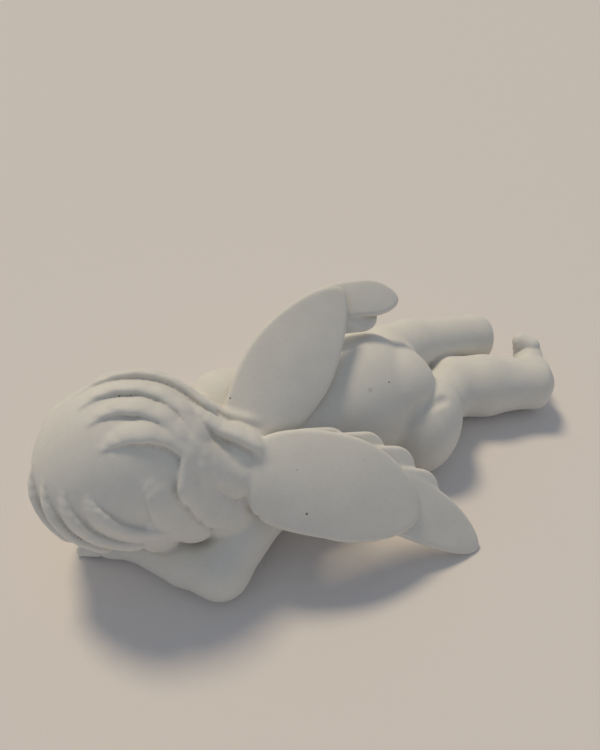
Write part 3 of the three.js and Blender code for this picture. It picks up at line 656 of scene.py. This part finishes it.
def skin_of(low, high):
    """One point in every grid cell that the surface crosses, and a face over every crossed edge."""
    values = sampled(low, high)
    inside = values < 0
    steps = [(i, j, k) for i in (0, 1) for j in (0, 1) for k in (0, 1)]
    size = np.array(values.shape)
    view = [inside[i : size[0] - 1 + i, j : size[1] - 1 + j, k : size[2] - 1 + k] for i, j, k in steps]
    count = sum(v.astype(np.int8) for v in view)
    cells = np.argwhere((count > 0) & (count < 8))
    number = np.full(size, -1, np.int32)
    number[cells[:, 0], cells[:, 1], cells[:, 2]] = np.arange(len(cells))
    total = np.zeros((len(cells), 3), np.float32)
    crossed = np.zeros(len(cells), np.float32)
    for start in steps:
        for axis in range(3):
            if start[axis]:
                continue
            a = cells + start
            b = a.copy()
            b[:, axis] += 1
            va = values[a[:, 0], a[:, 1], a[:, 2]]
            vb = values[b[:, 0], b[:, 1], b[:, 2]]
            cross = (va < 0) != (vb < 0)
            t = np.where(cross, va / np.where(cross, va - vb, 1), 0)
            point = np.tile(np.array(start, np.float32), (len(cells), 1))
            point[:, axis] += t
            total += point * cross[:, None]
            crossed += cross
    points = np.array(low, np.float32) + (cells + total / crossed[:, None]) * fine_step
    quads = []
    for axis in range(3):
        u, v = np.eye(3, dtype=int)[(axis + 1) % 3], np.eye(3, dtype=int)[(axis + 2) % 3]
        w = np.eye(3, dtype=int)[axis]
        a = inside[: size[0] - w[0], : size[1] - w[1], : size[2] - w[2]]
        b = inside[w[0] :, w[1] :, w[2] :]
        for flip in (False, True):
            base = np.argwhere((a & ~b) if not flip else (b & ~a))
            base = base[(base >= 1).all(axis=1)]
            ring = [base, base - u, base - u - v, base - v]
            quad = np.stack([number[c[:, 0], c[:, 1], c[:, 2]] for c in ring], axis=1)
            quad = quad[(quad >= 0).all(axis=1)]
            quads.append(quad[:, ::-1] if flip else quad)
    return points, np.concatenate(quads)


slope_reach = 0.05
settle_passes = 2
settle_share = 0.8
least_slope = 0.3


def settle(points, limit):
    """Points are drawn on to the true surface along its slope."""
    for _ in range(settle_passes):
        d = stood(points)
        rises = [stood(points + slope_reach * axis) - d for axis in straight]
        slope = np.stack(rises, axis=1) / slope_reach
        steep = np.maximum(rows(slope), least_slope)
        move = np.clip(d / steep, -limit, limit) * settle_share
        points = points - slope / steep[:, None] * move[:, None]
    return points


recess_reaches = (0.8, 2)


def recess(points, quads):
    """How deep each point lies in a hollow, from 0 on open surface to 1 in a tight crease."""
    a, b = points[quads[:, 2]] - points[quads[:, 0]], points[quads[:, 3]] - points[quads[:, 1]]
    across = np.cross(a, b)
    out = np.zeros_like(points)
    for corner in range(4):
        np.add.at(out, quads[:, corner], across)
    out /= np.maximum(rows(out), 1e-9)[:, None]
    shares = [1 - stood(points + out * reach) / reach for reach in recess_reaches]
    return np.clip(sum(shares) / len(shares), 0, 1)


# The skin, stood in the middle of the part's box, with its recesses kept for the painted crease shade and
# dust
mm = 0.001
settle_limit = fine_step * 0.5
low, high = at(-60, -32, -1), at(50, 36, 42)
points, quads = skin_of(low, high)
points = settle(points, settle_limit)
recesses = recess(points, quads)
middle = (points.min(axis=0) + points.max(axis=0)) / 2
cad_middle = (np.array(cad_low) + np.array(cad_high)) / 2 / mm
design_shift = np.array([cad_middle[0] - middle[0], cad_middle[1] - middle[1], -rest_flat])
points = (points + design_shift) * mm

skin = bpy.data.meshes.new("figure")
skin.from_pydata(points.tolist(), [], quads.tolist())
skin.update()
skin.polygons.foreach_set("use_smooth", [True] * len(skin.polygons))
skin.attributes.new("recess", "FLOAT", "POINT").data.foreach_set("value", recesses.astype(np.float32))
figure_object = bpy.data.objects.new("figure", skin)
bpy.context.collection.objects.link(figure_object)
facets = 2 * len(quads)
if facets > most_facets:
    thin = figure_object.modifiers.new("thin", "DECIMATE")
    thin.ratio = most_facets / facets

# Bisque porcelain: matt, slightly warm white with fine grain, a few dark specks and painted shade with some
# dust in its creases
specks = [
    (at(-25, 1.4, 25.1), 0.28, 0.85),
    (at(-31.7, 1.1, 28.9), 0.24, 0.75),
    (at(-20.4, -17.2, 15.2), 0.3, 0.95),
    (at(-19.9, -12.7, 20.2), 0.26, 0.3),
    (at(3, -1.2, 20.3), 0.26, 0.85),
    (at(-1, -1.6, 20.3), 0.7, 0.22),
    (at(-8.2, -9.3, 20), 0.3, 0.22),
    (at(-9, -14, 18.6), 0.32, 0.25),
]
speck_colour = (0.09, 0.07, 0.055, 1)
# A dusty grey, used both for the painted shade in creases and for the pinhole marks
dust_and_shade_colour = (0.5, 0.455, 0.38, 1)


def bisque_material():
    material = bpy.data.materials.new("bisque")
    material.use_nodes = True
    tree = material.node_tree
    shader = tree.nodes["Principled BSDF"]
    shader.inputs["Subsurface Weight"].default_value = 0.12
    shader.inputs["Subsurface Radius"].default_value = (1, 0.85, 0.7)
    shader.inputs["Subsurface Scale"].default_value = 0.0016
    shader.inputs["Specular IOR Level"].default_value = 0.35

    def node(kind, **inputs):
        made = tree.nodes.new("ShaderNode" + kind)
        for name, value in inputs.items():
            socket = made.inputs[name.replace("_", " ")]
            if isinstance(value, bpy.types.NodeSocket):
                tree.links.new(value, socket)
            else:
                socket.default_value = value
        return made

    def clouds(size, detail, low_value, high_value, low_share=0.35, high_share=0.65):
        """Noise with lumps of a size in millimetres, mapped to a range."""
        noise = node("TexNoise", Vector=place, Scale=1 / (size * mm), Detail=detail)
        ramp = node("MapRange", Value=noise.outputs["Fac"])
        for name, value in zip(
            ("From Min", "From Max", "To Min", "To Max"), (low_share, high_share, low_value, high_value)
        ):
            ramp.inputs[name].default_value = value
        return ramp.outputs["Result"]

    def blend(share, first, second):
        made = tree.nodes.new("ShaderNodeMix")
        made.data_type = "RGBA"
        for socket, value in zip((made.inputs[0], made.inputs[6], made.inputs[7]), (share, first, second)):
            if isinstance(value, bpy.types.NodeSocket):
                tree.links.new(value, socket)
            else:
                socket.default_value = value
        return made.outputs[2]

    place = node("TexCoord").outputs["Object"]
    tone = blend(clouds(34, 2, 0, 1), (0.8, 0.775, 0.715, 1), (0.76, 0.745, 0.7, 1))
    tone = blend(clouds(5, 3, 0, 0.5), tone, (0.83, 0.81, 0.76, 1))
    tone = blend(clouds(0.9, 2, 0, 0.16, 0.45, 0.75), tone, (0.66, 0.63, 0.57, 1))
    # Painted shade: the colour is darkened towards a dusty grey in creases and hollows, by how deep each
    # point lies, as shade painted in along with some dust
    hollow_part = node("Attribute")
    hollow_part.attribute_name = "recess"
    crease_shade_and_dust = node("MapRange", Value=hollow_part.outputs["Fac"])
    crease_shade_and_dust.inputs["From Min"].default_value = 0.15
    crease_shade_and_dust.inputs["From Max"].default_value = 0.9
    crease_shade_and_dust.inputs["To Max"].default_value = 0.42
    tone = blend(crease_shade_and_dust.outputs["Result"], tone, dust_and_shade_colour)
    pinholes = node("TexVoronoi", Vector=place, Scale=1 / (3.1 * mm))
    pinhole = node("MapRange", Value=pinholes.outputs["Distance"])
    pinhole.inputs["From Min"].default_value = 0.035
    pinhole.inputs["From Max"].default_value = 0.06
    pinhole.inputs["To Min"].default_value = 0.3
    pinhole.inputs["To Max"].default_value = 0
    tone = blend(pinhole.outputs["Result"], tone, dust_and_shade_colour)
    for centre, radius, strength in specks:
        away = node("VectorMath", Vector=place)
        away.operation = "DISTANCE"
        away.inputs[1].default_value = [float(v) for v in (centre + design_shift) * mm]
        spot = node("MapRange", Value=away.outputs["Value"])
        spot.inputs["From Min"].default_value = radius * 0.55 * mm
        spot.inputs["From Max"].default_value = radius * 1.1 * mm
        spot.inputs["To Min"].default_value = strength
        spot.inputs["To Max"].default_value = 0
        tone = blend(spot.outputs["Result"], tone, speck_colour)
    tree.links.new(tone, shader.inputs["Base Color"])
    tree.links.new(clouds(1.6, 3, 0.56, 0.7), shader.inputs["Roughness"])

    waves = node("Bump", Height=clouds(7, 2, 0, 1), Strength=0.5, Distance=0.00006)
    grain = node("Bump", Height=clouds(0.5, 3, 0, 1), Strength=0.55, Distance=0.00002)
    tree.links.new(waves.outputs["Normal"], grain.inputs["Normal"])
    tree.links.new(grain.outputs["Normal"], shader.inputs["Normal"])
    return material


skin.materials.append(bisque_material())
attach(figure_object, "root")
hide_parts("angel_figure")

# Stage: a pale sheet, soft warm light from the upper left and a cool fill
floor_half = 2.5
floor_colour = (0.82, 0.775, 0.745, 1)
floor_roughness = 0.9
floor_mesh = bpy.data.meshes.new("floor")
corners = [(-1, -1), (1, -1), (1, 1), (-1, 1)]
floor_mesh.from_pydata([(x * floor_half, y * floor_half, 0) for x, y in corners], [], [(0, 1, 2, 3)])
floor = bpy.data.objects.new("floor", floor_mesh)
bpy.context.collection.objects.link(floor)
paper = bpy.data.materials.new("paper")
paper.use_nodes = True
paper_shader = paper.node_tree.nodes["Principled BSDF"]
paper_shader.inputs["Base Color"].default_value = floor_colour
paper_shader.inputs["Roughness"].default_value = floor_roughness
floor_mesh.materials.append(paper)
floor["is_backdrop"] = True

# Camera at the photograph's viewing angle
view_turn = math.radians(25)
view_down = math.radians(40)
camera_height = 136 * mm
camera_away = 162 * mm
aim_y = 42
picture_wide = 600
picture_high = 750
focal_share = 650 / 600
sensor_size = 36
camera_data = bpy.data.cameras.new("camera")
camera = bpy.data.objects.new("camera", camera_data)
bpy.context.collection.objects.link(camera)
bpy.context.scene.camera = camera
away = Vector((math.sin(view_turn), math.cos(view_turn), 0))
ahead = away * math.cos(view_down) + Vector((0, 0, -math.sin(view_down)))
aim = Vector((design_shift[0] * mm, (aim_y + design_shift[1]) * mm, -rest_flat * mm))
camera.location = aim - away * camera_away + Vector((0, 0, camera_height))
camera.rotation_mode = "QUATERNION"
camera.rotation_quaternion = ahead.to_track_quat("-Z", "Y")
camera_data.sensor_fit = "AUTO"
camera_data.sensor_width = sensor_size
camera_data.lens = sensor_size * focal_share * picture_wide / picture_high
camera_data.clip_start = 0.01
camera_data.clip_end = 20


def sun(name, direction, strength, colour, spread):
    data = bpy.data.lights.new(name, "SUN")
    data.energy = strength
    data.color = colour
    data.angle = math.radians(spread)
    light = bpy.data.objects.new(name, data)
    light.rotation_mode = "QUATERNION"
    light.rotation_quaternion = direction.to_track_quat("-Z", "Y")
    bpy.context.collection.objects.link(light)


key_strength = 1.5
key_colour = (1, 0.84, 0.6)
key_spread = 14
sky_colour = (0.74, 0.815, 0.93, 1)
sky_strength = 0.35
right = Vector((math.cos(view_turn), -math.sin(view_turn), 0))
key_way = right * 0.35 - away * 0.55 + Vector((0, 0, -1))
sun("key", key_way, key_strength, key_colour, key_spread)
world = bpy.data.worlds.new("world")
bpy.context.scene.world = world
world.use_nodes = True
sky = world.node_tree.nodes["Background"]
sky.inputs["Color"].default_value = sky_colour
sky.inputs["Strength"].default_value = sky_strength
bpy.context.scene.view_settings.view_transform = "Standard"
